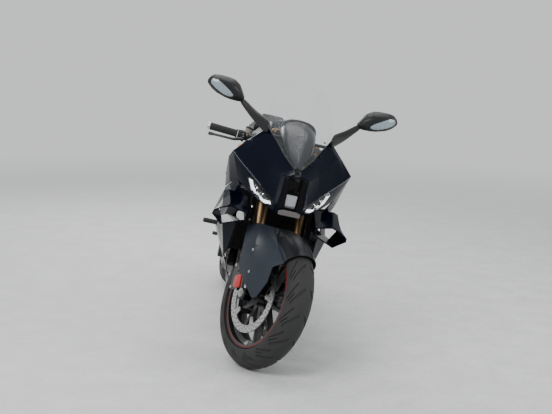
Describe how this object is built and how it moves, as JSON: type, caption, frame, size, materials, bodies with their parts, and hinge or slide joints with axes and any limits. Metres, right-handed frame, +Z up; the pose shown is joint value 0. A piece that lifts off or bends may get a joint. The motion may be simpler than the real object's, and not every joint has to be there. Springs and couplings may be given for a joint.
{
  "type": "sport motorcycle",
  "caption": "Fully faired sport motorcycle parked on its side stand, steering turned to the left stop, with turning wheels, steering, side stand and fuel cap.",
  "frame": {"origin": "the centre of the bounding box at floor level", "axes": "+Y to the rear along the length, -Y the way it drives, +X to the rider's left, +Z up"},
  "size_m": [0.8535, 2.0527, 1.2264],
  "materials": {
    "frame_black": "satin",
    "engine_grey": "satin",
    "radiator_black": "satin",
    "exhaust_steel": "brushed",
    "gloss_black": "gloss",
    "tank_black": "gloss",
    "matt_black": "satin",
    "seat_black": "satin",
    "lamp_clear": "clear",
    "lamp_red": "gloss",
    "screen_clear": "clear",
    "mirror_face": "polished",
    "swingarm_black": "satin",
    "shock_spring": "satin",
    "chain_steel": "satin",
    "axle_steel": "satin",
    "caliper_black": "gloss",
    "clamp_black": "satin",
    "fork_gold": "anodised",
    "fork_chrome": "polished",
    "grip_black": "matt",
    "guard_slate": "satin",
    "wheel_black": "satin",
    "tyre_rubber": "matt",
    "disc_steel": "brushed",
    "sprocket_steel": "satin",
    "stand_black": "satin"
  },
  "bodies": {
    "chassis": {"main_frame": "frame_black", "engine": "engine_grey", "radiator": "radiator_black", "exhaust": "exhaust_steel", "fuel_tank": "tank_black", "rider_seat": "seat_black", "pillion_seat": "seat_black", "tail_fairing": "gloss_black", "tail_lamp": "lamp_red", "plate_holder": "matt_black", "nose_cowl": "gloss_black", "headlamps": "lamp_clear", "upper_fairing_left": "gloss_black", "upper_fairing_right": "gloss_black", "side_fairing_left": "gloss_black", "side_fairing_right": "gloss_black", "belly_pan": "matt_black", "windscreen": "screen_clear", "instrument_panel": "matt_black", "mirrors": "gloss_black", "mirror_glasses": "mirror_face", "swingarm": "swingarm_black", "rear_shock": "shock_spring", "rear_hugger": "matt_black", "drive_chain": "chain_steel", "rear_axle": "axle_steel", "rear_caliper": "caliper_black", "footrests": "clamp_black"},
    "fork": {"triple_clamps": "clamp_black", "fork_tubes": "fork_gold", "fork_legs": "fork_chrome", "handlebars": "grip_black", "front_mudguard": "guard_slate", "front_axle": "axle_steel", "front_calipers": "caliper_black"},
    "front_wheel": {"front_rim": "wheel_black", "front_tyre": "tyre_rubber", "front_discs": "disc_steel"},
    "rear_wheel": {"rear_rim": "wheel_black", "rear_tyre": "tyre_rubber", "rear_disc": "disc_steel", "rear_sprocket": "sprocket_steel"},
    "side_stand": {"side_stand": "stand_black"},
    "filler_cap": {"fuel_cap": "clamp_black"}
  },
  "joints": [
    {"name": "steering", "type": "hinge", "parent": "chassis", "child": "fork", "pos_m": [-0.06074, -0.50151, 0.78056], "axis": [-0.1874, -0.3957, -0.899], "range_deg": [0, 52]},
    {"name": "front_wheel_spin", "type": "hinge", "parent": "fork", "child": "front_wheel", "pos_m": [-0.15127, -0.74677, 0.2845], "axis": [0.8439, 0.4035, -0.3535], "continuous": true},
    {"name": "rear_wheel_spin", "type": "hinge", "parent": "chassis", "child": "rear_wheel", "pos_m": [-0.15924, 0.70644, 0.31522], "axis": [0.9789, 0.001, -0.2045], "continuous": true},
    {"name": "stand", "type": "hinge", "parent": "chassis", "child": "side_stand", "pos_m": [-0.05276, 0.07404, 0.19575], "axis": [0.7524, -0.2874, 0.5927], "range_deg": [0, 108.8]},
    {"name": "fuel_cap_lid", "type": "hinge", "parent": "chassis", "child": "filler_cap", "pos_m": [-0.01665, -0.19119, 0.99318], "axis": [0.9789, 0.001, -0.2045], "range_deg": [0, 95]}
  ]
}
